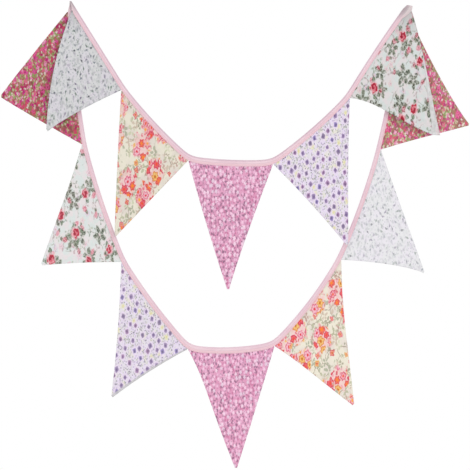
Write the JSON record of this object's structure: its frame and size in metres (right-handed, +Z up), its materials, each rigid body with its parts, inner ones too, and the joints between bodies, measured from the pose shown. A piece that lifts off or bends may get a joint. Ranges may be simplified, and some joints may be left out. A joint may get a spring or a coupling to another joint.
{
  "type": "fabric bunting",
  "caption": "String of three-cornered cotton flags in small flower prints on a folded pink binding tape, hung as two swags between two points.",
  "frame": {"origin": "the left hanging point, where the two ends of the binding tape meet", "axes": "+X to the right, towards the right hanging point, +Y to the back, +Z up; the upper swag hangs in front (-Y) and the lower swag behind (+Y)"},
  "size_m": [0.6568, 0.0299, 0.6545],
  "materials": {
    "binding_tape": "plain pale pink cotton bias tape, matt, with one line of stitching",
    "grey_print": "pale grey cotton with tiny scattered slate sprigs, matt",
    "cream_print": "cream cotton with clusters of coral and orange flowers, matt",
    "pink_print": "pink cotton with a dense small print of pale flowers, matt",
    "lilac_print": "pale lilac cotton with small purple and yellow flowers, matt",
    "rose_print": "cool white cotton with small red roses and dark green leaves, matt",
    "magenta_print": "dense magenta and crimson flower print with olive leaves, matt"
  },
  "bodies": {
    "root": {"binding_tape": "binding_tape", "flag_grey_upper": "grey_print", "flag_cream_upper": "cream_print", "flag_pink_upper": "pink_print", "flag_lilac_upper": "lilac_print", "flag_rose_upper": "rose_print", "flag_magenta_lower_left": "magenta_print", "flag_rose_lower": "rose_print", "flag_lilac_lower": "lilac_print", "flag_pink_lower": "pink_print", "flag_cream_lower": "cream_print", "flag_grey_lower": "grey_print", "flag_magenta_lower_right": "magenta_print"}
  },
  "joints": []
}
